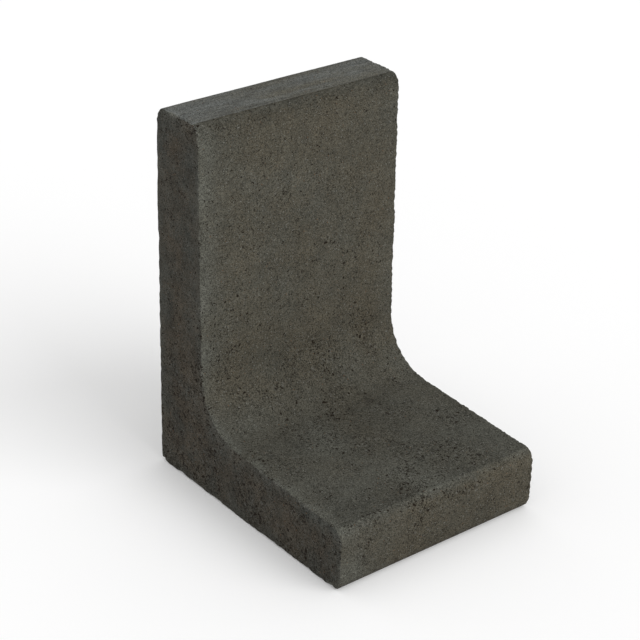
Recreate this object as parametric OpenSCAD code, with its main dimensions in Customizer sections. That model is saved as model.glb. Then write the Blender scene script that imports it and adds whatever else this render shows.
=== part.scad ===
// Concrete l-block: an upright leg and a foot cast as one piece.
// Origin at the centre of the base, +Z up, the foot points along -Y.

/* [Block] */
// Height of the block
block_h = 400; // [300:5:600]
// Length of the foot, from the back face to the nose
block_l = 300; // [240:5:400]
// Width of the block, from end to end
block_w = 250; // [150:5:500]

/* [Leg] */
// Thickness of the leg at its top
leg_top_t = 70; // [50:1:80]
// Thickness of the leg where it meets the foot
leg_root_t = 76; // [60:1:90]

/* [Foot] */
// Thickness of the foot at its nose
nose_t = 69; // [50:1:80]
// Thickness of the foot where it meets the leg
foot_root_t = 77; // [60:1:90]
// Radius of the fillet between leg and foot
fillet_r = 58; // [20:1:90]

/* [Moulded edges] */
// Radius that every long edge is rounded with
edge_r = 15; // [15:0.5:30]
// How far the front edges' rounding reaches in from the leg's or the nose's face
front_edge_in = 9; // [5:0.5:12]
// How far the front edges' rounding reaches along the leg's or the nose's face
front_edge_along = 13; // [8:0.5:15]
// How far the back top edge's rounding reaches across the top
back_top_in = 12; // [6:0.5:14]
// How far the back top edge's rounding reaches down the back
back_top_down = 14; // [8:0.5:15]
// How far the back bottom edge's rounding reaches across the base
back_base_in = 5; // [3:0.5:8]
// How far the back bottom edge's rounding reaches up the back
back_base_up = 10; // [5:0.5:14]

/* [Hidden] */

$fn = 96;
concrete = [0.36, 0.35, 0.32];

back_y = block_l / 2;
nose_y = -block_l / 2;

// Section corners, as [y, z]
back_base = [back_y, 0];
back_top = [back_y, block_h];
leg_top = [back_y - leg_top_t, block_h];
inner_corner = [back_y - leg_root_t, foot_root_t];
nose_top = [nose_y, nose_t];
nose_base = [nose_y, 0];

// Directions in the section: up the leg's inner face, and out along the foot
up_leg = (leg_top - inner_corner) / norm(leg_top - inner_corner);
out_foot = (nose_top - inner_corner) / norm(nose_top - inner_corner);
up = [0, 1];
out = [-1, 0];
past_arc = 0.3;

// The fillet's centre, and the points where it runs off into the two faces
inner_angle = acos(up_leg * out_foot);
fillet_reach = fillet_r / tan(inner_angle / 2);
between = (up_leg + out_foot) / norm(up_leg + out_foot);
fillet_centre = inner_corner + between * fillet_r / sin(inner_angle / 2);
fillet_on_leg = inner_corner + up_leg * fillet_reach;
fillet_on_foot = inner_corner + out_foot * fillet_reach;

// Section with sharp edges and a sharp inner corner
module sharp_section() {
    polygon([back_base, back_top, leg_top, inner_corner, nose_top, nose_base]);
}

// What the fillet adds in the inner corner
module fillet_section() {
    inside = inner_corner - between * fillet_r / 4;
    difference() {
        polygon([inside, fillet_on_leg, fillet_centre, fillet_on_foot]);
        translate(fillet_centre) circle(r = fillet_r);
    }
}

// What a rounded edge leaves away at a corner of the section. The arc runs from
// reach_a along direction a to reach_b along direction b, and meets both faces
// at a slight crease. The cut starts past_arc beyond the arc's ends, in the air.
module edge_waste(corner, a, reach_a, b, reach_b) {
    start = corner + a * reach_a;
    end = corner + b * reach_b;
    chord = end - start;
    across = [chord[1], -chord[0]] / norm(chord);
    inward = across * sign(across * (a + b));
    centre = (start + end) / 2 + inward * sqrt(pow(edge_r, 2) - pow(norm(chord) / 2, 2));
    cut_start = start + a * past_arc;
    cut_end = end + b * past_arc;
    outside = corner - a * reach_a - b * reach_b;
    difference() {
        polygon([cut_start, cut_start - b * reach_b, outside, cut_end - a * reach_a, cut_end]);
        translate(centre) circle(r = edge_r);
    }
}

// Section of the block as it leaves the mould
module block_section() {
    difference() {
        union() {
            sharp_section();
            fillet_section();
        }
        edge_waste(back_top, out, back_top_in, -up, back_top_down);
        edge_waste(back_base, out, back_base_in, up, back_base_up);
        edge_waste(leg_top, -out, front_edge_in, -up_leg, front_edge_along);
        edge_waste(nose_top, -out_foot, front_edge_in, -up, front_edge_along);
        edge_waste(nose_base, -out, front_edge_in, up, front_edge_along);
    }
}

module l_block() {
    color(concrete)
        translate([-block_w / 2, 0, 0])
            rotate([90, 0, 90])
                linear_extrude(height = block_w)
                    block_section();
}

l_block();
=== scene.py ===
import math
from itertools import product

import bpy
import numpy as np
from mathutils import Color, Matrix, Vector
from mathutils.geometry import delaunay_2d_cdt


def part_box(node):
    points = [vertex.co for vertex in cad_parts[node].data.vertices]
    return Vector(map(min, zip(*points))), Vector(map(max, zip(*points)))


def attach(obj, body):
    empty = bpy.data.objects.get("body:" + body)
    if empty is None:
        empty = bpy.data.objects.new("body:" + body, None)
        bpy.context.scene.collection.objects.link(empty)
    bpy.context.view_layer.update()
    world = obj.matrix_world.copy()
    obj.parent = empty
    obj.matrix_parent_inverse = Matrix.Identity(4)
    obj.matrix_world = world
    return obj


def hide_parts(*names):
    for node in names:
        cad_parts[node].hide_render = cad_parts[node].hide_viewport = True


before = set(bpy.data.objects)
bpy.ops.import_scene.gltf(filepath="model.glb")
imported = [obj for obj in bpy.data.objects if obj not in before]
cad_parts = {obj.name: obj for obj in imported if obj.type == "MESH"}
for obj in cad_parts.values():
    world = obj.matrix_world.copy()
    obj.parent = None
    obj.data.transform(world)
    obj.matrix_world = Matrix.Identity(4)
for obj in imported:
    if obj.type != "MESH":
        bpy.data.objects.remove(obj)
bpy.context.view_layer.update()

bl_info = {
    "name": "Concrete L-Block",
    "version": (1, 0, 0),
    "blender": (4, 5, 0),
    "location": "3D View > Sidebar > L-Block",
    "description": "Casts a concrete L-block with worn edges and open pores, and sets a plain stage for it",
    "category": "Object",
}

MM = 0.001
NODE = "l_block"
NODE_LOW, NODE_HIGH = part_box(NODE)


# ---------------- settings


def number(name, default, description, **limits):
    """A plain number."""
    return bpy.props.FloatProperty(name=name, default=default, description=description, **limits)


def size_mm(name, default, description):
    """A length that the user types in millimetres."""
    limits = {"min": 0.0, "soft_max": 1.0, "precision": 5, "subtype": "DISTANCE", "unit": "LENGTH"}
    return number(name, default * MM, description, **limits)


def angle(name, degrees, description):
    """An angle that the user types in degrees."""
    return number(name, math.radians(degrees), description, subtype="ANGLE", unit="ROTATION")


def share(name, default, description):
    """A strength from 0 to 1."""
    return number(name, default, description, min=0.0, max=1.0, subtype="FACTOR")


def tone(name, default, description):
    """A colour of the concrete or of the stage."""
    return bpy.props.FloatVectorProperty(
        name=name, default=default, size=3, min=0.0, max=1.0, subtype="COLOR", description=description,
    )


class SectionSizes(bpy.types.PropertyGroup):
    """The block's section, as it is cast."""

    leg_top: size_mm("Leg top", 70.0, "Thickness of the leg at its top")
    leg_root: size_mm("Leg root", 76.0, "Thickness of the leg where it meets the foot")
    nose: size_mm("Nose", 69.0, "Thickness of the foot at its nose")
    foot_root: size_mm("Foot root", 77.0, "Thickness of the foot where it meets the leg")
    fillet: size_mm("Fillet radius", 58.0, "Radius between leg and foot")
    edge_radius: size_mm("Edge radius", 15.0, "Radius that the long edges are rounded with")
    front_in: size_mm("Front edges, across", 9.0, "Reach of the front edges in from the face")
    front_along: size_mm("Front edges, along", 13.0, "Reach of the front edges along the face")
    back_top_in: size_mm("Back top edge, across", 12.0, "Reach of the back top edge across the top")
    back_top_down: size_mm("Back top edge, down", 14.0, "Reach of the back top edge down the back")
    back_base_in: size_mm("Back bottom edge, across", 5.0, "Reach of the back bottom edge across the base")
    back_base_up: size_mm("Back bottom edge, up", 10.0, "Reach of the back bottom edge up the back")


class SurfaceRelief(bpy.types.PropertyGroup):
    """What pressing, stripping and handling left on the surface."""

    seed: bpy.props.IntProperty(name="Seed", default=11, min=0, description="Seed of every random shape")
    step: size_mm("Mesh step", 2.0, "Spacing of the mesh on the faces that show")
    plain_step: size_mm("Plain mesh step", 4.5, "Spacing of the mesh on the back and the base")
    wave: size_mm("Waviness", 0.5, "Depth of the slow waves in the faces")
    wave_length: size_mm("Wave length", 70.0, "Length of the slow waves")
    tooth: size_mm("Tooth", 0.16, "Depth of the sandy unevenness")
    pit_depth: size_mm("Pit depth", 1.3, "Depth of the deepest pits")
    pit_radius: size_mm("Pit radius", 2.3, "Radius of the widest pits")
    worn_edge: size_mm("Worn edge", 1.2, "Usual radius that the end edges are worn to")
    chip: size_mm("Chips", 3.6, "Size of the largest chips along the end edges")
    fray: size_mm("Fray", 0.9, "Depth of the fine notches along the end edges")

    def noise(self, points, size, number):
        """One of the block's own smooth noises, from -1 to 1, told apart by its number."""
        return smooth_noise(points, size, self.seed + number)


class ConcreteFinish(bpy.types.PropertyGroup):
    """Colours and grain of the concrete."""

    warm: tone("Warm grey", (0.079, 0.069, 0.049), "Cement skin where it is brownish")
    cool: tone("Cool grey", (0.070, 0.070, 0.058), "Cement skin where it is greenish grey")
    end_warm: tone("End, warm grey", (0.060, 0.050, 0.037), "Brownish parts of the pressed ends")
    end_cool: tone("End, cool grey", (0.0495, 0.051, 0.0445), "Greenish grey parts of the pressed ends")
    top_warm: tone("Top, warm grey", (0.093, 0.088, 0.069), "Brownish parts of the struck top")
    top_cool: tone("Top, cool grey", (0.097, 0.102, 0.097), "Bluish grey parts of the struck top")
    # Painted shade: the near-black laid into pores, pit floors, holes, cracks and dark pinhole grains
    pore: tone("Pores", (0.012, 0.008, 0.0045), "Painted shade inside pores and pits")
    bloom: tone("Bloom", (0.070, 0.0705, 0.059), "Fine cement drawn out along the rim")
    worn: tone("Worn edges", (0.118, 0.117, 0.102), "Fresh stone on rubbed edges")
    light: tone("Light grains", (0.180, 0.180, 0.164), "The few light grains")
    rust: tone("Rusty grains", (0.120, 0.066, 0.034), "The few rust-coloured grains")
    grain: size_mm("Grain", 0.84, "Size of the sand grains that show")
    grain_contrast: share("Grain contrast", 0.64, "How far the grains differ in brightness")
    grain_relief: share("Grain relief", 0.55, "How strongly the grains stand out")


class StageSettings(bpy.types.PropertyGroup):
    """Floor, light and camera."""

    floor: tone("Floor", (0.9, 0.9, 0.9), "Colour of the floor")
    floor_glow: share("Floor glow", 0.12, "White added to the floor where it is seen or mirrored")
    floor_size: number("Floor size", 14.0, "Side of the square floor", min=2.0, unit="LENGTH")
    focal_length: number("Focal length", 109.5, "Lens of the camera", min=10.0, unit="CAMERA")
    distance: number("Distance", 1.928, "From the camera to its target", min=0.3, unit="LENGTH")
    azimuth: angle("Azimuth", -39.1, "Turn of the camera about the block, from the nose's side")
    elevation: angle("Elevation", 28.0, "Height of the camera above the horizon")
    roll: angle("Roll", 1.55, "Turn of the camera about its own axis")
    target: bpy.props.FloatVectorProperty(
        name="Target", default=(-0.024, 0.0146, 0.1928), size=3, subtype="XYZ", unit="LENGTH",
        description="Point that the camera looks at",
    )
    world_level: number("Light all round", 0.74, "Level of the even light", min=0.0, max=2.0)
    key_level: number("Key light", 0.42, "Level of the key light on a facing surface", min=0.0, max=2.0)
    key_softness: angle("Key softness", 50.0, "Angle that the key light spans")
    key_direction: bpy.props.FloatVectorProperty(
        name="Key direction", default=(-0.30, 0.75, -0.59), size=3, subtype="DIRECTION",
        description="Direction that the key light shines in",
    )


# ---------------- random fields

CELL_CORNERS = tuple(product((0, 1), repeat=3))
CELLS_AROUND = tuple(product((-1, 0, 1), repeat=3))


def lattice_random(cells, seed):
    """A repeatable random number from 0 to 1 for each lattice point."""
    h = np.uint32((seed * 2654435761) & 0xFFFFFFFF)
    for axis, factor in enumerate((73856093, 19349663, 83492791)):
        h = h ^ (cells[:, axis].astype(np.uint32) * np.uint32(factor))
    for shift, factor in ((13, 0x5BD1E995), (15, 0x27D4EB2F), (16, 0x165667B1)):
        h ^= h >> np.uint32(shift)
        h *= np.uint32(factor)
    h ^= h >> np.uint32(15)
    return h.astype(np.float64) / 0xFFFFFFFF


def smooth_noise(points, size, seed):
    """Smooth noise from -1 to 1 whose bumps are about size apart."""
    scaled = points / size
    base = np.floor(scaled).astype(np.int64)
    part = scaled - base
    blend = part * part * part * (part * (part * 6.0 - 15.0) + 10.0)
    total = np.zeros(len(points))
    for corner in CELL_CORNERS:
        turn = lattice_random(base + corner, seed) * 2.0 * math.pi
        rise = lattice_random(base + corner, seed + 7) * 2.0 - 1.0
        ring = np.sqrt(1.0 - rise * rise)
        offset = part - corner
        slope = ring * np.cos(turn) * offset[:, 0] + ring * np.sin(turn) * offset[:, 1]
        slope += rise * offset[:, 2]
        total += slope * np.where(corner, blend, 1.0 - blend).prod(axis=1)
    return np.clip(total * 1.6, -1.0, 1.0)


def nearest_cell(points, spacing, seed):
    """Distance to the nearest of some scattered spots, spacing apart, and two random numbers of that spot."""
    base = np.floor(points / spacing).astype(np.int64)
    nearest = np.full(len(points), np.inf)
    chosen = base
    for step in CELLS_AROUND:
        cell = base + step
        spot = np.stack([lattice_random(cell, seed + k) for k in (1, 2, 3)], axis=1)
        distance = np.linalg.norm((cell + spot) * spacing - points, axis=1)
        closer = distance < nearest
        nearest = np.where(closer, distance, nearest)
        chosen = np.where(closer[:, None], cell, chosen)
    return nearest, lattice_random(chosen, seed + 4), lattice_random(chosen, seed + 5)


def clamp(value):
    """0 below 0, 1 above 1, and unchanged between."""
    return np.clip(value, 0.0, 1.0)


def ease(value, low, high):
    """0 below low, 1 above high, and smooth between."""
    t = clamp((value - low) / (high - low))
    return t * t * (3.0 - 2.0 * t)


def fade(value, low, high):
    """1 below low, 0 above high, and smooth between."""
    return 1.0 - ease(value, low, high)


# ---------------- the section

# Distance from a side's end to its next point, which keeps the crease between two sides narrow
CREASE = 0.35 * MM


def unit(v):
    """A vector's direction."""
    return v / np.linalg.norm(v)


def spaced(length, step):
    """Shares of a side's length at which its points stand, closer together by its two ends."""
    near = CREASE / length
    count = max(1, round((length - 2.0 * CREASE) / step))
    return np.concatenate([[0.0], np.linspace(near, 1.0 - near, count + 1)])


def straight(start, end, step):
    """Points and outward normals along a straight side, without its last point."""
    t = spaced(np.linalg.norm(end - start), step)[:, None]
    along = unit(end - start)
    normal = np.array([along[1], -along[0]])
    return start + (end - start) * t, np.tile(normal, (len(t), 1))


def bow(start, end, radius, step, hollow=False):
    """Points and outward normals along an arc between two points, without its last point."""
    chord = end - start
    half = np.linalg.norm(chord) / 2.0
    right = unit(np.array([chord[1], -chord[0]]))
    side = right if hollow else -right
    centre = (start + end) / 2.0 + side * math.sqrt(radius * radius - half * half)
    sweep = 2.0 * math.asin(half / radius)
    turn = (-sweep if hollow else sweep) * spaced(radius * sweep, step)
    spoke = start - centre
    across, along = np.cos(turn), np.sin(turn)
    points = np.stack([spoke[0] * across - spoke[1] * along, spoke[0] * along + spoke[1] * across], axis=1)
    normals = points / radius * (-1.0 if hollow else 1.0)
    return centre + points, normals


def section_outline(sizes, relief):
    """The section's outline as (y, z) points, their outward normals, and the name of each point's face."""
    back, nose = NODE_HIGH.y, NODE_LOW.y
    base, top = NODE_LOW.z, NODE_HIGH.z
    leg_top = np.array([back - sizes.leg_top, top])
    inner = np.array([back - sizes.leg_root, base + sizes.foot_root])
    nose_top = np.array([nose, base + sizes.nose])
    up = np.array([0.0, 1.0])
    ahead = np.array([-1.0, 0.0])
    up_leg = unit(leg_top - inner)
    out_foot = unit(nose_top - inner)
    reach = sizes.fillet / math.tan(math.acos(up_leg @ out_foot) / 2.0)
    fine, plain = relief.step, relief.plain_step
    # Each side with its step, the sharp corner at its end, and the way and the reach of the rounding
    # from that corner back along this side and on along the next one
    sides = (
        ("base", plain, np.array([back, base]), ahead, sizes.back_base_in, up, sizes.back_base_up),
        ("back", plain, np.array([back, top]), -up, sizes.back_top_down, ahead, sizes.back_top_in),
        ("top", fine, leg_top, -ahead, sizes.front_in, -up_leg, sizes.front_along),
        ("leg", fine, inner, up_leg, reach, out_foot, reach),
        ("foot", fine, nose_top, -out_foot, sizes.front_in, -up, sizes.front_along),
        ("nose", fine, np.array([nose, base]), up, sizes.front_along, -ahead, sizes.front_in),
    )
    ends = [(corner + a * reach_a, corner + b * reach_b) for _, _, corner, a, reach_a, b, reach_b in sides]
    parts = []
    for number, (name, step, *_) in enumerate(sides):
        parts.append((name, straight(ends[number - 1][1], ends[number][0], step)))
        if name == "leg":
            parts.append(("fillet", bow(*ends[number], sizes.fillet, fine, hollow=True)))
        else:
            parts.append(("edge", bow(*ends[number], sizes.edge_radius, fine)))
    points = np.concatenate([part[0] for _, part in parts])
    normals = np.concatenate([part[1] for _, part in parts])
    faces = [name for name, part in parts for _ in part[0]]
    return points, normals, faces


# ---------------- the block's mesh

# Places of the rows and rings of points by the end edges, in millimetres
END_ROWS = (0.0, 0.45, 1.0, 1.8, 3.0, 4.6)
END_RINGS = (0.5, 1.2, 2.3, 3.8)
# Points of the ends: their spacing against the mesh step, and how far they stray from a grid
END_STEP = 1.15
END_STRAY = 0.18
# What the triangulation gives back, and how close together it takes two points for one
INSIDE_ONLY, TINY = 1, 1e-7
# Points that are compared with the outline at a time
CHUNK = 4000
# How far the edges' own sinking, fraying, smudges and bloom reach in from the end edges
EDGE_REACH = 6.0 * MM
FRAY_REACH = 3.5 * MM
SMUDGE_REACH = 8.0 * MM
RIM_REACH = 24.0 * MM
# Pits and chips: spacing, size against the largest, seed, and the share that is there
PIT_SIZES = ((0.0075, 1.0, 41, 0.55), (0.0042, 0.62, 51, 0.75))
CHIP_SIZES = ((0.034, 1.0, 21, 0.5), (0.017, 0.65, 24, 0.6), (0.0075, 0.5, 27, 0.65))
# How open the concrete is at most, from 0 to 1
OPEN_ANYWHERE = 0.20
OPEN_LOW_DOWN = 0.54
OPEN_ON_FOOT = 0.24
OPEN_ON_NOSE_CREST = 0.16
OPEN_ON_LEG_CREST = 0.10
# How far it is closed again there, as a share
CLOSED_BY_EDGE = 0.62
CLOSED_AT_NOSE_CORNER = 0.60
CLOSED_UNDER_RIM = 0.65
# Strength of the bloom along the left and the right rim, and on the ends
LEFT_RIM, RIGHT_RIM, END_RIM = 1.0, 0.2, 0.3
# Numbers of the materials in the mesh
SKIN, TOP, END = 0, 1, 2


def spread_rows(low, high, step):
    """Places of the rows across the block's width, closer together by the two ends."""
    rim = np.array(END_ROWS) * MM
    inner_low, inner_high = low + rim[-1] + step, high - rim[-1] - step
    count = max(2, round((inner_high - inner_low) / step))
    middle = np.linspace(inner_low, inner_high, count + 1)
    return np.concatenate([low + rim, middle, (high - rim)[::-1]])


def nearest_on_outline(points, outline, normals):
    """The outline point nearest to each point, and whether the point lies on its inner side."""
    nearest = np.zeros(len(points), int)
    for start in range(0, len(points), CHUNK):
        chunk = points[start:start + CHUNK]
        gaps = np.linalg.norm(chunk[:, None, :] - outline[None, :, :], axis=2)
        nearest[start:start + CHUNK] = gaps.argmin(axis=1)
    inside = ((points - outline[nearest]) * normals[nearest]).sum(axis=1) < 0.0
    return nearest, inside


def fill_end(outline, normals, step, rng):
    """Points inside the section and the triangles that join them to the outline."""
    rings = np.concatenate([outline - normals * d * MM for d in END_RINGS])
    low, high = outline.min(axis=0), outline.max(axis=0)
    columns = np.arange(low[0] + step, high[0], step)
    lines = np.arange(low[1] + step, high[1], step)
    grid = np.stack(np.meshgrid(columns, lines), axis=-1)
    grid[1::2, :, 0] += step / 2.0
    grid = grid.reshape(-1, 2) + rng.uniform(-END_STRAY, END_STRAY, (grid.size // 2, 2)) * step
    nearest, inside = nearest_on_outline(grid, outline, normals)
    gap = np.linalg.norm(grid - outline[nearest], axis=1)
    grid = grid[inside & (gap > (END_RINGS[-1] * MM + step * 0.7))]
    points = np.concatenate([outline, rings, grid])
    border = list(range(len(outline)))
    found = delaunay_2d_cdt([Vector(p) for p in points], [], [border], INSIDE_ONLY, TINY)
    source = [ids[0] for ids in found[3]]
    triangles = [[source[i] for i in corner_ids] for corner_ids in found[2]]
    return points[len(outline):], triangles


class Layout:
    """The block's points as moulded, and for each the nearest end edge and the faces that meet there."""

    def __init__(self, sizes, relief, rng):
        self.outline, self.normals, self.names = section_outline(sizes, relief)
        rows = spread_rows(NODE_LOW.x, NODE_HIGH.x, relief.step)
        inner, self.triangles = fill_end(self.outline, self.normals, relief.step * END_STEP, rng)
        n, m, k = len(self.outline), len(rows), len(inner)
        self.counts = n, m, k
        skin = np.column_stack([np.repeat(rows, n), np.tile(self.outline, (m, 1))])
        ends = [np.column_stack([np.full(k, x), inner]) for x in (rows[0], rows[-1])]
        self.points = np.concatenate([skin] + ends)
        self.is_skin = np.arange(len(self.points)) < m * n
        self.end_side = np.where(self.points[:, 0] < 0.0, -1.0, 1.0)
        nearest, _ = nearest_on_outline(inner, self.outline, self.normals)
        self.edge_index = np.concatenate([np.tile(np.arange(n), m), nearest, nearest])
        self.edge_points = np.column_stack([self.end_side * NODE_HIGH.x, self.outline[self.edge_index]])
        self.gap = np.linalg.norm(self.points - self.edge_points, axis=1)
        # Outward directions of the long face that meets the edge, of the point's own face, and of
        # the face across the edge
        self.side = np.zeros_like(self.points)
        self.side[:, 1:] = self.normals[self.edge_index]
        end = np.zeros_like(self.points)
        end[:, 0] = self.end_side
        self.face = np.where(self.is_skin[:, None], self.side, end)
        self.across = np.where(self.is_skin[:, None], end, self.side)

    def faces(self):
        """The faces as vertex numbers, and the number of each one's material."""
        n, m, k = self.counts
        first = np.arange(m - 1)[:, None] * n
        a = (first + np.arange(n)).ravel()
        b = (first + (np.arange(n) + 1) % n).ravel()
        faces = np.stack([a, b, b + n, a + n], axis=1).tolist()
        numbers = [TOP if name == "top" else SKIN for name in self.names] * (m - 1)
        for row, inner, order in ((0, m * n, -1), (m - 1, m * n + k, 1)):
            for corners in self.triangles:
                faces.append([row * n + i if i < n else inner + i - n for i in corners[::order]])
        numbers += [END] * (2 * len(self.triangles))
        return faces, numbers


def open_texture(points):
    """Where the concrete is poorly closed, from 0 to 1: in the fillet, on the foot and low on the ends."""
    x, y, height = points.T
    from_end = NODE_HIGH.x - np.abs(x)
    clouds = smooth_noise(points, 0.055, 31) * 0.6 + smooth_noise(points, 0.021, 32) * 0.4
    low_down = fade(height, 0.10, 0.24)
    on_foot = ease(-y, -0.02, 0.06)
    by_edge = fade(from_end, 6.0 * MM, 34.0 * MM)
    on_end = fade(from_end, 1.0 * MM, 3.0 * MM)
    nose_crest = ease(-y, 0.134, 0.143) * ease(height, 0.046, 0.060)
    leg_crest = ease(height, 0.383, 0.388) * fade(height, 0.396, 0.399)
    nose_corner = ease(-x, 0.02, 0.09) * ease(-y, 0.0, 0.08) * ease(height, 0.05, 0.066)
    under_rim = ease(height, 0.054, 0.068) * fade(y, 0.0, 0.05)
    crumbled = on_end * ease(height, 0.382, 0.396) * fade(y, 0.10, 0.13)
    on_base = fade(height, 0.0, 0.004)

    spread = ease(clouds, -0.3, 0.4)
    spread *= OPEN_ANYWHERE + low_down * (OPEN_LOW_DOWN + OPEN_ON_FOOT * on_foot)
    spread *= 1.0 - CLOSED_AT_NOSE_CORNER * nose_corner
    spread += np.maximum(OPEN_ON_NOSE_CREST * nose_crest, OPEN_ON_LEG_CREST * leg_crest)
    spread *= 1.0 - CLOSED_BY_EDGE * by_edge * (1.0 - on_end)
    spread += on_end * low_down * (0.30 + 0.5 * smooth_noise(points, 0.04, 33))
    spread *= 1.0 - CLOSED_UNDER_RIM * on_end * under_rim
    spread += crumbled * (0.42 + 0.35 * smooth_noise(points, 0.012, 34))
    return clamp(spread * (1.0 - on_base))


def pits(points, relief, openness):
    """Depth of the pits at each point, as a share of the deepest."""
    depth = np.zeros(len(points))
    for spacing, widest, seed, share_kept in PIT_SIZES:
        bend = np.stack([smooth_noise(points, 0.004, seed + 60 + k) for k in (0, 1, 2)], axis=1)
        distance, size, luck = nearest_cell(points + bend * 0.9 * MM, spacing, relief.seed + seed)
        radius = relief.pit_radius * widest * (0.35 + 0.65 * size * size)
        kept = luck < share_kept * openness * np.sqrt(openness)
        bowl = clamp(1.0 - (distance / radius) ** 2)
        depth = np.maximum(depth, bowl * kept * (0.4 + 0.6 * size))
    return depth


def sink(points, relief, openness, pit):
    """How far the surface lies inside the mould's faces."""
    wave = 0.5 + 0.5 * relief.noise(points, relief.wave_length, 1)
    swell = 0.5 + 0.5 * relief.noise(points, relief.wave_length * 0.3, 2)
    sand = relief.noise(points, 0.0052, 3) * 0.6
    sand += relief.noise(points, 0.0027, 4) * 0.5
    sand = (sand + 1.1) * (0.55 + 0.9 * openness)
    return relief.wave * (0.7 * wave + 0.3 * swell) + relief.tooth * sand + relief.pit_depth * pit


def notch_depth(at, relief, rng):
    """Depth of the fine notches along the end edges."""
    teeth = rng.random((2, len(at.outline))) ** 2
    depth = clamp(0.3 + relief.noise(at.edge_points, 0.0045, 17))
    depth *= relief.fray * np.clip(0.7 + 0.9 * relief.noise(at.edge_points, 0.030, 18), 0.1, 1.5)
    depth += relief.fray * teeth[(at.end_side > 0.0).astype(int), at.edge_index]
    by_back = ease(at.edge_points[:, 1], 0.13, 0.145)
    on_left = (at.end_side < 0.0) * ease(at.edge_points[:, 2], 0.01, 0.03)
    depth *= (1.0 - 0.6 * by_back) * (1.0 - 0.45 * on_left)
    return depth * clamp(1.0 - at.gap / FRAY_REACH) ** 2


def worn_radius(edge_points, relief):
    """Radius that the end edges are worn or chipped to, along the edge."""
    rub = relief.noise(edge_points, 0.0045, 11) * 0.5
    rub += relief.noise(edge_points, 0.05, 12) * 0.6
    radius = relief.worn_edge * np.clip(1.0 + rub, 0.35, 2.0)
    by_base = edge_points[:, 2] < 2.0 * MM
    by_top = edge_points[:, 2] > NODE_HIGH.z - 2.0 * MM
    knocks = 0.6 * np.clip(0.45 + 1.3 * relief.noise(edge_points, 0.024, 16), 0.0, 1.7)
    bumps = np.clip(2.6 * relief.noise(edge_points, 0.013, 25) - 0.2, 0.0, 1.6)
    knocks += bumps * ease(np.abs(edge_points[:, 1]), 0.085, 0.11)
    bites = clamp(1.4 * relief.noise(edge_points, 0.016, 2657))
    radius += relief.chip * (by_base * knocks + by_top * bites)
    struck = 1.0 + 0.4 * by_base + 0.3 * by_top
    for spacing, scale, seed, kept in CHIP_SIZES:
        distance, size, luck = nearest_cell(edge_points, spacing, relief.seed + seed)
        reach = relief.chip * scale * (1.2 + 1.6 * size)
        bite = clamp(1.0 - (distance / reach) ** 2) * (luck < kept)
        radius += relief.chip * scale * bite * (0.5 + 0.5 * size) * struck
    return radius


def wear_corner(gap, radius):
    """Moves a point gap away from a sharp corner onto the corner's rounding: along its face, and into it."""
    turn = clamp(1.0 - gap / radius) * math.pi / 4.0
    along = np.where(gap < radius, radius - radius * np.sin(turn) - gap, 0.0)
    return along, radius - radius * np.cos(turn)


def rim_mask(at, relief, lying, on_nose, settled):
    """Where fine cement was drawn out: along the rim, as dust on what faces up, and low on the ends."""
    on_top = at.points[:, 2] > NODE_HIGH.z - 0.5 * MM
    strength = np.where(at.end_side < 0.0, LEFT_RIM, RIGHT_RIM)
    strength = np.where(at.is_skin, strength, END_RIM)
    reach = RIM_REACH * (1.0 + 0.35 * lying + 0.6 * on_nose)
    rim = np.exp(-((at.gap / reach) ** 2)) * strength
    rim *= 0.7 + 0.5 * relief.noise(at.points, 0.03, 13)
    smudge = clamp(0.4 + relief.noise(at.points, 0.011, 22))
    smudge = np.where(at.is_skin, smudge * strength * lying, END_RIM)
    rim += smudge * np.exp(-((at.gap / SMUDGE_REACH) ** 2))
    dust = 0.57 + 0.4 * relief.noise(at.points, 0.05, 15)
    smears = relief.noise(at.points * (0.3, 1.5, 1.0), 0.018, 19) - 2.0 * at.points[:, 0]
    smears = 0.6 * ease(smears, 0.05, 0.55)
    rim = np.maximum(rim, np.where(on_top, smears, dust) * lying)
    return clamp(np.maximum(rim, 0.65 * settled))


def surface_masks(at, relief, radius, openness, pit):
    """The masks of the concrete at each point."""
    x, y, height = at.points.T
    lying, level = ease(at.face[:, 2], 0.3, 0.95), ease(at.face[:, 2], 0.5, 0.95)
    on_nose = ease(-at.face[:, 1], 0.2, 0.8) * fade(height, 0.07, 0.09)
    on_foot_end = fade(height, 0.07, 0.12) * ~at.is_skin
    on_foot_top = lying * fade(height, 0.1, 0.15)
    crest = np.array([name == "edge" for name in at.names])[at.edge_index] & at.is_skin & (y < -0.1)

    rubbed = clamp(1.0 - at.gap / (radius * 1.6 + 0.6 * MM))
    rubbed *= 0.35 + 0.65 * ease(radius, relief.worn_edge * 0.8, relief.worn_edge * 2.6)
    rubbed = np.maximum(rubbed, crest * (0.28 + 0.15 * relief.noise(at.points, 0.007, 14)))

    settled = clamp(0.6 + relief.noise(at.points, 0.03, 23))
    settled *= np.where(at.is_skin, 0.0, fade(height, 0.006, 0.045))

    # Painted shade: darker low down, by the top, on what lies level towards the nose, and close to the
    # ground; on the ends, low down where cement settled, and close to the ground
    damp = 0.32 * fade(height, 0.06, 0.19) + 1.1 * ease(height, 0.380, 0.400)
    damp += (0.42 + 0.35 * ease(-y, 0.105, 0.138)) * level * (1.0 - 0.9 * crest)
    damp += 0.38 * fade(height, 0.0, 0.075)
    damp = np.where(at.is_skin, damp, 0.3 * settled) + 0.35 * fade(height, 0.0, 0.014)

    warm = (0.2 + 0.22 * np.clip(x / 0.09, -1.0, 1.0)) * on_nose
    warm += (2.0 * y - 0.02) * on_foot_top - 0.12 * on_foot_end
    return {
        "open": openness,
        "pit": pit,
        "rubbed": rubbed,
        "rim": rim_mask(at, relief, lying, on_nose, settled),
        "damp": damp,
        "warm": warm,
    }


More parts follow.
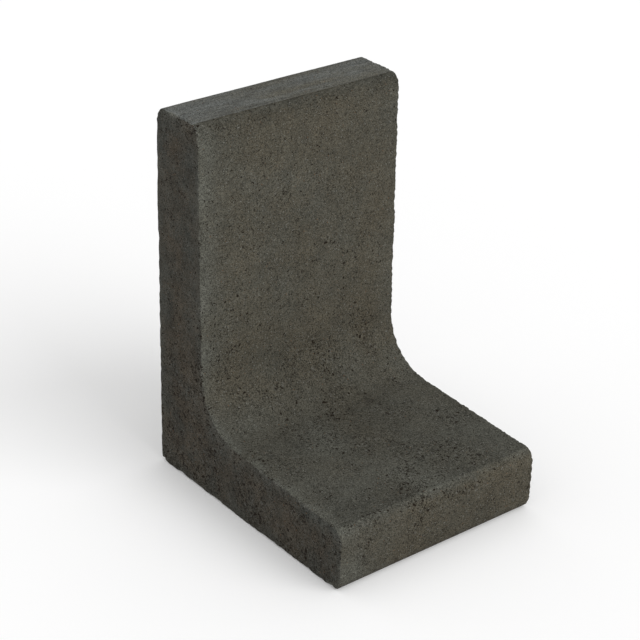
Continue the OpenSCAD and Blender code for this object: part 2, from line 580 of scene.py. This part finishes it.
def shape_block(sizes, relief):
    """Vertices, faces, material numbers and surface masks of the cast block."""
    rng = np.random.default_rng(relief.seed)
    at = Layout(sizes, relief, rng)
    openness = open_texture(at.points)
    pit = pits(at.points, relief, openness)
    notches = notch_depth(at, relief, rng)
    own_sink = sink(at.points, relief, openness, pit) + notches
    edge_sink = sink(at.edge_points, relief, open_texture(at.edge_points), np.zeros(len(at.points)))
    edge_sink = edge_sink * clamp(1.0 - at.gap / EDGE_REACH) + notches
    # The base stays level, so nothing sinks upwards from it
    level = fade(-at.side[:, 2], 0.3, 0.95)
    own_sink *= np.where(at.is_skin, level, 1.0)
    edge_sink *= np.where(at.is_skin, 1.0, level)
    radius = worn_radius(at.edge_points, relief)
    along, into = wear_corner(at.gap, radius)
    moved = at.points - at.face * (own_sink + into)[:, None] - at.across * (edge_sink + along)[:, None]
    return moved, *at.faces(), surface_masks(at, relief, radius, openness, pit)


def make_mesh(name, points, faces, numbers, masks):
    """A smooth-shaded mesh with its masks as attributes."""
    mesh = bpy.data.meshes.new(name)
    mesh.from_pydata(points.tolist(), [], faces)
    mesh.polygons.foreach_set("material_index", np.array(numbers, np.int32))
    mesh.polygons.foreach_set("use_smooth", np.ones(len(faces), bool))
    for mask, values in masks.items():
        attribute = mesh.attributes.new(mask, "FLOAT", "POINT")
        attribute.data.foreach_set("value", values.astype(np.float32))
    mesh.validate()
    mesh.update()
    return mesh


# ---------------- node building

FLOAT, VECTOR, COLOUR = "NodeSocketFloat", "NodeSocketVector", "NodeSocketColor"
# Steps to other parts of the random fields, so that what is drawn there doesn't follow the rest
ELSEWHERE = (3.1, 1.7, 5.3)
FURTHER_OFF = (7.9, 4.3, 2.1)
FAR_AWAY = (12.7, 9.1, 4.9)


class Graph:
    """A node tree being built: each call adds labelled nodes and returns the socket to go on from."""

    def __init__(self, tree):
        self.tree = tree
        tree.nodes.clear()

    def add(self, kind, label, inputs=None, **settings):
        """Adds a node. An input that is a socket is linked, any other is set, a colour as an opaque one."""
        node = self.tree.nodes.new(kind)
        node.label = label
        for key, value in settings.items():
            setattr(node, key, value)
        for key, value in (inputs or {}).items():
            if isinstance(value, bpy.types.NodeSocket):
                self.tree.links.new(value, node.inputs[key])
            else:
                node.inputs[key].default_value = (*value, 1.0) if isinstance(value, Color) else value
        return node

    def calc(self, label, operation, *values, clamp=False):
        """One step of arithmetic."""
        inputs = dict(enumerate(values))
        return self.add("ShaderNodeMath", label, inputs, operation=operation, use_clamp=clamp).outputs[0]

    def times(self, label, value, factor):
        """A value times a factor."""
        return self.calc(label, "MULTIPLY", value, factor)

    def plus(self, value, *parts):
        """A value with more added to it: each part is a label, a mask and its amount."""
        for label, mask, amount in parts:
            value = self.calc(label, "MULTIPLY_ADD", mask, amount, value)
        return value

    def largest(self, label, value, *others):
        """The largest of some values."""
        for other in others:
            value = self.calc(label, "MAXIMUM", value, other)
        return value

    def span(self, label, value, low, high, to_low=0.0, to_high=1.0):
        """A value carried smoothly from one range to another."""
        inputs = {"Value": value, "From Min": low, "From Max": high, "To Min": to_low, "To Max": to_high}
        return self.add("ShaderNodeMapRange", label, inputs, interpolation_type="SMOOTHSTEP").outputs[0]

    def vector(self, label, operation, a, b):
        """One step of arithmetic on vectors."""
        inputs = {0: a, 3 if operation == "SCALE" else 1: b}
        return self.add("ShaderNodeVectorMath", label, inputs, operation=operation).outputs[0]

    def mix(self, label, factor, a, b):
        """Two colours mixed."""
        inputs = {0: factor, 6: a, 7: b}
        return self.add("ShaderNodeMix", label, inputs, data_type="RGBA", clamp_factor=True).outputs[2]

    def noise(self, label, vector, scale, detail, roughness=0.5, output="Fac"):
        """A smooth random value, or three of them as a colour."""
        inputs = {"Vector": vector, "Scale": scale, "Detail": detail, "Roughness": roughness}
        return self.add("ShaderNodeTexNoise", label, inputs).outputs[output]

    def cells(self, label, vector, scale):
        """Random cells: the distance to each cell's middle, and three random numbers of the cell."""
        cells = self.add("ShaderNodeTexVoronoi", label, {"Vector": vector, "Scale": scale}).outputs
        luck = self.add("ShaderNodeSeparateColor", "Luck", {0: cells["Color"]}).outputs
        return cells["Distance"], luck[0], luck[1], luck[2]

    def place(self, label, group, inputs):
        """The outputs of a node group placed in this tree."""
        return self.add("ShaderNodeGroup", label, inputs, node_tree=group).outputs

    def arrange(self):
        """Puts the nodes in columns from left to right."""
        depth = {node.name: 0 for node in self.tree.nodes}
        for _ in range(len(depth)):
            for link in self.tree.links:
                behind = depth[link.from_node.name] + 1
                depth[link.to_node.name] = max(depth[link.to_node.name], behind)
        rows = {}
        for node in self.tree.nodes:
            column = depth[node.name]
            rows[column] = rows.get(column, -1) + 1
            node.location = (column * 220.0, rows[column] * -260.0)


def new_group(name, floats, colours=(), vectors=("Vector",)):
    """The graph and the input sockets of a new shader node group."""
    tree = bpy.data.node_groups.new(name, "ShaderNodeTree")
    for sockets, kind in ((vectors, VECTOR), (colours, COLOUR), (floats, FLOAT)):
        for socket in sockets:
            tree.interface.new_socket(socket, in_out="INPUT", socket_type=kind)
    graph = Graph(tree)
    return graph, graph.add("NodeGroupInput", "Inputs").outputs


def close_group(graph, **outputs):
    """The finished node group, which puts out these sockets under these names."""
    for name in outputs:
        kind = COLOUR if name == "Colour" else FLOAT
        graph.tree.interface.new_socket(name, in_out="OUTPUT", socket_type=kind)
    graph.add("NodeGroupOutput", "Outputs", outputs)
    graph.arrange()
    return graph.tree


def start_nodes(owner):
    """The empty node tree of a material or of the world."""
    owner.use_nodes = True
    return Graph(owner.node_tree)


def finish_nodes(owner, graph, shader, kind="ShaderNodeOutputMaterial"):
    """The material or world itself, with its shader led to its output."""
    graph.add(kind, "Surface", {"Surface": shader.outputs[0]})
    graph.arrange()
    return owner


# ---------------- concrete

# The masks that the mesh carries, by the input that each one feeds
MASKS = {
    "Openness": "open", "Pit": "pit", "Rubbed": "rubbed",
    "Bloom": "rim", "Painted Shade": "damp", "Warm Shift": "warm",
}
CONCRETE_COLOURS = (
    "Warm", "Cool", "Pore Shade Colour", "Bloom Colour", "Worn Colour", "Light Colour", "Rust Colour",
)
CONCRETE_VALUES = (
    "Cloud Size", "Cloud Contrast", "Blotch Contrast", "Grain Size", "Grain Contrast",
    "Pore Amount", "Hole Amount", "Deep Amount", "Streak Amount", "Open Warmth",
)
# Sizes of pores, holes, deep holes and cracks, in metres, and the width of a crack against its size
PORE, HOLE, DEEP_HOLE, CRACK = 2.4 * MM, 4.3 * MM, 6.8 * MM, 9.0 * MM
CRACK_WIDTH = 0.02
# Shares of the sand's cells that are rusty, light or dark grains, and of the stones that show
RUSTY, LIGHT, DARK, STONES = 0.0012, 0.011, 0.04, 0.16
# Tone and roughness of plain concrete before its blotches, streaks, grain and wear
PLAIN_TONE, PLAIN_ROUGHNESS = 0.73, 0.95


def clouds_group():
    """Cloudy blotches, from 0 to 1."""
    graph, source = new_group("Concrete Clouds", ("Size", "Contrast"), vectors=("Vector", "Stretch"))
    drawn = graph.vector("Stretched", "MULTIPLY", source["Vector"], source["Stretch"])
    scale = graph.calc("Scale", "DIVIDE", 1.0, source["Size"])
    centred = graph.calc("Centred", "SUBTRACT", graph.noise("Clouds", drawn, scale, 4.0, 0.58), 0.5)
    strong = graph.calc("Contrast", "MULTIPLY_ADD", centred, source["Contrast"], 0.5, clamp=True)
    return close_group(graph, Mask=strong)


def sand_group():
    """Sand grains in the cement: brightness, height, tint, and masks of the few that stand out."""
    graph, source = new_group("Sand Grains", ("Size", "Contrast"))
    where = source["Vector"]
    scale = graph.calc("Grain scale", "DIVIDE", 1.0, source["Size"])
    gap, luck, lift, kind = graph.cells("Grains", where, scale)
    fine = graph.noise("Fine sand", where, graph.times("Fine scale", scale, 1.5), 2.0, 0.6)
    lumps = graph.noise("Lumps", where, graph.times("Lump scale", scale, 0.42), 2.0)
    tones = graph.plus(-2.0, ("Grain tone", luck, 1.5), ("Fine tone", fine, 1.7), ("Lump tone", lumps, 0.8))
    bright = graph.calc("Brightness", "MULTIPLY_ADD", tones, source["Contrast"], 1.0)
    height = graph.times("Grain height", graph.calc("Round tops", "SUBTRACT", 1.0, gap), lift)
    stone_gap, chosen, _, _ = graph.cells("Stones", where, graph.times("Stone scale", scale, 0.16))
    chosen = graph.calc("Stone chosen", "LESS_THAN", chosen, STONES)
    rounded = graph.span("Stone outline", stone_gap, 0.24, 0.50, 1.0, 0.0)
    return close_group(
        graph,
        Brightness=graph.largest("Never black", bright, 0.15),
        Height=graph.plus(height, ("Uneven height", lumps, 1.4), ("Height", fine, 0.5)),
        Tint=graph.calc("Tint", "SUBTRACT", lift, 0.5),
        Rust=graph.calc("Rust", "GREATER_THAN", kind, 1.0 - RUSTY),
        Light=graph.calc("Light", "LESS_THAN", kind, LIGHT),
        Dark=graph.calc("Between", "COMPARE", kind, 0.5, DARK / 2.0),
        Stone=graph.times("Stone", rounded, chosen),
    )


def pores_group():
    """Open pores of one size, with ragged outlines, more of them where the concrete is poorly closed."""
    graph, source = new_group("Open Pores", ("Size", "Amount", "Openness", "Amount Where Open"))
    where, size = source["Vector"], source["Size"]
    scale = graph.calc("Pore scale", "DIVIDE", 1.0, size)
    bend = graph.noise("Bend", where, graph.times("Bend scale", scale, 1.3), 3.0, output="Color")
    bend = graph.vector("Bend centred", "SUBTRACT", bend, (0.5, 0.5, 0.5))
    bend = graph.vector("Bend amount", "SCALE", bend, graph.times("Bend reach", size, 1.5))
    gap, luck, width, _ = graph.cells("Holes", graph.vector("Bent", "ADD", where, bend), scale)
    chance = graph.plus(source["Amount"], ("Chance", source["Openness"], source["Amount Where Open"]))
    kept = graph.calc("Kept", "LESS_THAN", luck, chance)
    radius = graph.calc("Radius", "MULTIPLY_ADD", width, 0.3, 0.12)
    hole = graph.span("Hole", gap, graph.times("Floor of the pore", radius, 0.7), radius, 1.0, 0.0)
    return close_group(graph, Mask=graph.times("Mask", hole, kept))


def cracks_group():
    """Short, thin, curved cracks where the concrete is poorly closed."""
    graph, source = new_group("Open Cracks", ("Size", "Width", "Openness"))
    where, width = source["Vector"], source["Width"]
    scale = graph.calc("Crack scale", "DIVIDE", 1.0, source["Size"])
    off_line = graph.calc("Off the line", "SUBTRACT", graph.noise("Lines", where, scale, 3.0, 0.6), 0.5)
    off_line = graph.calc("Distance from the line", "ABSOLUTE", off_line)
    crack = graph.span("Crack", off_line, graph.times("Edge of the crack", width, 0.5), width, 1.0, 0.0)
    away = graph.vector("Far away", "ADD", where, FAR_AWAY)
    patches = graph.noise("Patches", away, graph.times("Patch scale", scale, 1.7), 1.0)
    patches = graph.plus(patches, ("Open patches", source["Openness"], 0.16))
    some = graph.span("Only here and there", patches, 0.66, 0.70)
    return close_group(graph, Mask=graph.times("Mask", crack, some))


def wear_group():
    """Edges rubbed down to fresh stone, broken up by the grain."""
    graph, source = new_group("Rubbed Edges", ("Rubbed",))
    patches = graph.noise("Patches", source["Vector"], 70.0, 3.0, 0.6)
    grit = graph.noise("Grit", source["Vector"], 650.0, 2.0, 0.6)
    broken = graph.calc("Shifted", "SUBTRACT", graph.plus(patches, ("Broken up", grit, 0.5)), 0.75)
    lifted = graph.plus(source["Rubbed"], ("Rubbed and broken", broken, 1.1))
    worn = graph.span("Worn", lifted, 0.2, 0.75)
    mask = graph.calc("Only near edges", "MULTIPLY", worn, source["Rubbed"], clamp=True)
    return close_group(graph, Mask=mask)


def concrete_group():
    """Cast concrete put together from its clouds, sand, pores, cracks and rubbed edges."""
    clouds, pores = clouds_group(), pores_group()
    floats = CONCRETE_VALUES + tuple(MASKS)
    graph, source = new_group("Cast Concrete", floats, CONCRETE_COLOURS, ("Vector", "Stretch"))
    where, openness = source["Vector"], source["Openness"]
    away = graph.vector("Far away", "ADD", where, FAR_AWAY)

    def cloud(label, vector, size, contrast):
        inputs = {"Vector": vector, "Stretch": source["Stretch"], "Size": size, "Contrast": contrast}
        return graph.place(label, clouds, inputs)["Mask"]

    def hollows(label, vector, size, amount, gathered, more):
        inputs = {"Vector": vector, "Size": size, "Amount": source[amount], "Openness": gathered}
        return graph.place(label, pores, {**inputs, "Amount Where Open": more})["Mask"]

    # Clouds of hue and tone, and streaks along the width
    size, contrast = source["Cloud Size"], source["Blotch Contrast"]
    small = graph.times("Small blotches", size, 0.27)
    hue = cloud("Warm and cool", where, size, source["Cloud Contrast"])
    blotch = cloud("Blotches", graph.vector("Elsewhere", "ADD", where, ELSEWHERE), small, contrast)
    broad = cloud("Broad tone", graph.vector("Further off", "ADD", where, FURTHER_OFF), size, contrast)
    drawn = graph.vector("Drawn along", "MULTIPLY", where, (0.1, 1.0, 1.0))
    streak = graph.calc("Streaks centred", "SUBTRACT", graph.noise("Streaks", drawn, 260.0, 2.0, 0.6), 0.5)

    # Sand, pores, holes, cracks and rubbed edges
    contrast = graph.plus(source["Grain Contrast"], ("Coarser where open", openness, 0.2))
    sand = {"Vector": where, "Size": source["Grain Size"], "Contrast": contrast}
    grain = graph.place("Sand", sand_group(), sand)
    pore = hollows("Pores", where, PORE, "Pore Amount", openness, 0.42)
    gather = graph.span("Gathered in strings", graph.noise("Gathered", away, 42.0, 2.0), 0.45, 0.58)
    gather = graph.times("Gathered where open", gather, openness)
    gather = graph.times("Mostly where open", gather, openness)
    hole = hollows("Holes", where, HOLE, "Hole Amount", gather, 2.4)
    deep = hollows("Deep holes", away, DEEP_HOLE, "Deep Amount", gather, 0.7)
    cracks = {"Vector": where, "Size": CRACK, "Width": CRACK_WIDTH, "Openness": openness}
    crack = graph.place("Cracks", cracks_group(), cracks)["Mask"]
    hole = graph.largest("Holes and cracks", hole, deep, crack)
    edges = {"Vector": where, "Rubbed": source["Rubbed"]}
    worn = graph.place("Rubbed edges", wear_group(), edges)["Mask"]

    # Colour, from the hue and the tone to what lies over them
    warmth = graph.times("Warmth", openness, source["Open Warmth"])
    hue = graph.calc("Warmer where open", "SUBTRACT", hue, warmth)
    hue = graph.calc("Warmer on the nose", "SUBTRACT", hue, source["Warm Shift"])
    hue = graph.calc("Hue by grain", "MULTIPLY_ADD", grain["Tint"], 0.7, hue, clamp=True)
    colour = graph.mix("Warm or cool", hue, source["Warm"], source["Cool"])
    colour = graph.mix("Cool along the rim", source["Bloom"], colour, source["Bloom Colour"])
    tone = graph.plus(
        PLAIN_TONE,
        ("Blotch tone", blotch, 0.30),
        ("Broad tone", broad, 0.24),
        ("Streaked", streak, source["Streak Amount"]),
        ("Lighter rim", graph.times("Strong bloom", source["Bloom"], source["Bloom"]), 0.44),
        ("Darker where open", openness, -0.04),
        # Painted shade: the mesh's shade mask darkens the tone here
        ("Darker by painted shade", source["Painted Shade"], -0.22),
    )
    colour = graph.vector("Toned", "SCALE", colour, graph.times("Tone and grain", tone, grain["Brightness"]))
    worn_tone = graph.vector("Worn, with grain", "SCALE", source["Worn Colour"], grain["Brightness"])
    stone = graph.times("Stones where open", grain["Stone"], openness)
    stone = graph.times("Stones, faint", stone, 0.34)
    # Painted shade in the hollows: pores, pit floors, holes, cracks and dark pinhole grains all take the
    # near-black pore colour
    pit = graph.span("Pit floor", source["Pit"], 0.1, 0.8)
    pinhole = graph.times("Dark grains, faint", grain["Dark"], 0.75)
    hollow = graph.largest("All that is hollow", pore, pit, hole, pinhole)
    for label, mask, over in (
        ("Worn", worn, worn_tone),
        ("Stones", stone, source["Light Colour"]),
        ("Light grains", graph.times("Light grains, faint", grain["Light"], 0.8), source["Light Colour"]),
        ("Rust", grain["Rust"], source["Rust Colour"]),
        ("Hollows", graph.times("Hollow shade", hollow, 0.96), source["Pore Shade Colour"]),
    ):
        colour = graph.mix(label, mask, colour, over)

    height = grain["Height"]
    rough = (("By blotch", blotch, -0.07), ("By grain", height, 0.02), ("Smoother where worn", worn, -0.08))
    relief = (("Pores sunk", pore, -2.2), ("Holes sunk", hole, -4.0), ("Stones proud", stone, 1.5))
    return close_group(
        graph,
        Colour=colour,
        Roughness=graph.plus(PLAIN_ROUGHNESS, *rough),
        Height=graph.plus(height, *relief),
    )


def concrete_material(name, group, relief, values):
    """One of the block's concrete surfaces. A mask without a value of its own comes from the mesh."""
    material = bpy.data.materials.new(name)
    graph = start_nodes(material)
    inputs = {"Vector": graph.add("ShaderNodeTexCoord", "On the object").outputs["Object"], **values}
    for socket, attribute in MASKS.items():
        if socket not in values:
            node = graph.add("ShaderNodeAttribute", socket, attribute_name=attribute)
            inputs[socket] = node.outputs["Fac"]
    surface = graph.place("Concrete", group, inputs)
    grain = {"Strength": relief, "Distance": 0.4 * MM, "Height": surface["Height"]}
    shader = graph.add("ShaderNodeBsdfPrincipled", "Concrete", {
        "Base Color": surface["Colour"],
        "Roughness": surface["Roughness"],
        "Normal": graph.add("ShaderNodeBump", "Grain relief", grain).outputs["Normal"],
        "Specular IOR Level": 0.12,
    })
    return finish_nodes(material, graph, shader)


def concrete_materials(finish):
    """Mould-formed skin, struck top and pressed ends, in the order of the mesh's material numbers."""
    group = concrete_group()
    shared = {"Pore Shade Colour": finish.pore, "Worn Colour": finish.worn, "Rust Colour": finish.rust}
    shared["Grain Size"] = finish.grain
    # What differs: for the skin, for the top and for the ends
    own = {
        "Warm": (finish.warm, finish.top_warm, finish.end_warm),
        "Cool": (finish.cool, finish.top_cool, finish.end_cool),
        "Bloom Colour": (finish.bloom, finish.top_cool, finish.end_cool * 1.15),
        "Light Colour": (finish.light, finish.light, finish.light * 0.72),
        "Stretch": ((1.0, 1.0, 1.0), (0.3, 1.4, 1.0), (1.0, 1.0, 0.9)),
        "Cloud Size": (0.060, 0.034, 0.042),
        "Cloud Contrast": (1.5, 2.4, 3.2),
        "Blotch Contrast": (1.8, 2.6, 3.4),
        "Grain Contrast": tuple(finish.grain_contrast * part for part in (1.0, 1.0, 0.88)),
        "Pore Amount": (0.14, 0.02, 0.15),
        "Hole Amount": (0.022, 0.0, 0.065),
        "Deep Amount": (0.0, 0.0, 0.006),
        "Streak Amount": (0.0, 0.7, 0.0),
        "Open Warmth": (0.15, 0.0, 0.42),
    }
    materials = []
    for surface, name in enumerate(("concrete_skin", "concrete_top", "concrete_end")):
        values = shared | {socket: choices[surface] for socket, choices in own.items()}
        if surface == TOP:
            # The struck top gets none of the painted shade
            values["Painted Shade"] = 0.0
        materials.append(concrete_material(name, group, finish.grain_relief, values))
    return materials


# ---------------- stage

WHITE = Color((1.0, 1.0, 1.0))


def seen_by_eye(graph):
    """1 for rays from the camera, a mirror or a glass, and 0 for the rays that light things."""
    path = graph.add("ShaderNodeLightPath", "Ray").outputs
    seen = (path["Is Camera Ray"], path["Is Glossy Ray"], path["Is Transmission Ray"])
    return graph.largest("Seen or mirrored", *seen)


def floor_material(colour, glow):
    """Pale matt floor, lifted to white where it is seen outside the block's shadow."""
    material = bpy.data.materials.new("stage_floor")
    graph = start_nodes(material)
    shader = graph.add("ShaderNodeBsdfPrincipled", "Floor", {
        "Base Color": colour,
        "Roughness": 0.9,
        "Specular IOR Level": 0.0,
    })
    strength = graph.times("Glow", seen_by_eye(graph), glow)
    white = graph.add("ShaderNodeEmission", "White", {"Color": WHITE, "Strength": strength})
    both = graph.add("ShaderNodeAddShader", "Floor and glow", {0: shader.outputs[0], 1: white.outputs[0]})
    return finish_nodes(material, graph, both)


def plain_world(level):
    """An even light from all round, in front of a white background."""
    world = bpy.data.worlds.new("studio")
    graph = start_nodes(world)
    light = graph.add("ShaderNodeBackground", "Light", {"Color": WHITE, "Strength": level})
    white = graph.add("ShaderNodeBackground", "White", {"Color": WHITE, "Strength": 1.0})
    which = {0: seen_by_eye(graph), 1: light.outputs[0], 2: white.outputs[0]}
    both = graph.add("ShaderNodeMixShader", "Which", which)
    return finish_nodes(world, graph, both, "ShaderNodeOutputWorld")


def add_sun(name, direction, level, softness):
    """A soft sun that shines along direction and gives a facing surface that level."""
    lamp = bpy.data.lights.new(name, "SUN")
    lamp.energy = level * math.pi
    lamp.angle = softness
    sun = bpy.data.objects.new(name, lamp)
    sun.rotation_euler = Vector(direction).to_track_quat("-Z", "Y").to_euler()
    bpy.context.scene.collection.objects.link(sun)


def add_camera(stage):
    """The camera, looking at the stage's target."""
    side, up = math.cos(stage.elevation), math.sin(stage.elevation)
    back = Vector((math.sin(stage.azimuth) * side, -math.cos(stage.azimuth) * side, up))
    data = bpy.data.cameras.new("camera")
    data.lens = stage.focal_length
    data.sensor_width = 36.0
    data.clip_start = 0.05
    data.clip_end = 100.0
    camera = bpy.data.objects.new("camera", data)
    turn = back.to_track_quat("Z", "Y").to_matrix() @ Matrix.Rotation(stage.roll, 3, "Z")
    camera.matrix_world = Matrix.Translation(Vector(stage.target) + back * stage.distance) @ turn.to_4x4()
    bpy.context.scene.collection.objects.link(camera)
    bpy.context.scene.camera = camera


# ---------------- operators


class LBLOCK_OT_cast_block(bpy.types.Operator):
    """Cast the L-block over its solid, with its relief and its concrete"""

    bl_idname = "lblock.cast_block"
    bl_label = "Cast Block"
    bl_options = {"REGISTER", "UNDO"}

    def execute(self, context):
        scene = context.scene
        mesh = make_mesh("cast_block", *shape_block(scene.lblock_section, scene.lblock_relief))
        for material in concrete_materials(scene.lblock_finish):
            mesh.materials.append(material)
        block = bpy.data.objects.new("cast_block", mesh)
        scene.collection.objects.link(block)
        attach(block, "root")
        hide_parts(NODE)
        return {"FINISHED"}


class LBLOCK_OT_set_stage(bpy.types.Operator):
    """Lay the floor, and set the light and the camera"""

    bl_idname = "lblock.set_stage"
    bl_label = "Set Stage"
    bl_options = {"REGISTER", "UNDO"}

    def execute(self, context):
        scene = context.scene
        stage = scene.lblock_stage
        mesh = bpy.data.meshes.new("floor")
        half = stage.floor_size / 2.0
        corners = [(-half, -half, 0.0), (half, -half, 0.0), (half, half, 0.0), (-half, half, 0.0)]
        mesh.from_pydata(corners, [], [(0, 1, 2, 3)])
        mesh.materials.append(floor_material(stage.floor, stage.floor_glow))
        floor = bpy.data.objects.new("floor", mesh)
        scene.collection.objects.link(floor)
        scene.world = plain_world(stage.world_level)
        add_sun("key", stage.key_direction, stage.key_level, stage.key_softness)
        add_camera(stage)
        scene.view_settings.view_transform = "Standard"
        return {"FINISHED"}


class LBLOCK_PT_panel(bpy.types.Panel):
    """The block's settings, and the buttons that build it"""

    bl_label = "Concrete L-Block"
    bl_idname = "LBLOCK_PT_panel"
    bl_space_type = "VIEW_3D"
    bl_region_type = "UI"
    bl_category = "L-Block"

    def draw(self, context):
        layout = self.layout
        layout.use_property_split = True
        for name, (title, group) in SETTINGS.items():
            box = layout.box()
            box.label(text=title)
            for key in group.__annotations__:
                box.prop(getattr(context.scene, name), key)
        for operator in OPERATORS:
            layout.operator(operator.bl_idname)


SETTINGS = {
    "lblock_section": ("Section", SectionSizes),
    "lblock_relief": ("Relief", SurfaceRelief),
    "lblock_finish": ("Concrete", ConcreteFinish),
    "lblock_stage": ("Stage", StageSettings),
}
OPERATORS = (LBLOCK_OT_cast_block, LBLOCK_OT_set_stage)
CLASSES = (*(group for _, group in SETTINGS.values()), *OPERATORS, LBLOCK_PT_panel)


def register():
    for cls in CLASSES:
        bpy.utils.register_class(cls)
    for name, (title, group) in SETTINGS.items():
        setattr(bpy.types.Scene, name, bpy.props.PointerProperty(type=group, name=title))


def unregister():
    for name in SETTINGS:
        delattr(bpy.types.Scene, name)
    for cls in reversed(CLASSES):
        bpy.utils.unregister_class(cls)


def main():
    register()
    bpy.ops.lblock.cast_block()
    bpy.ops.lblock.set_stage()


if __name__ == "__main__":
    main()
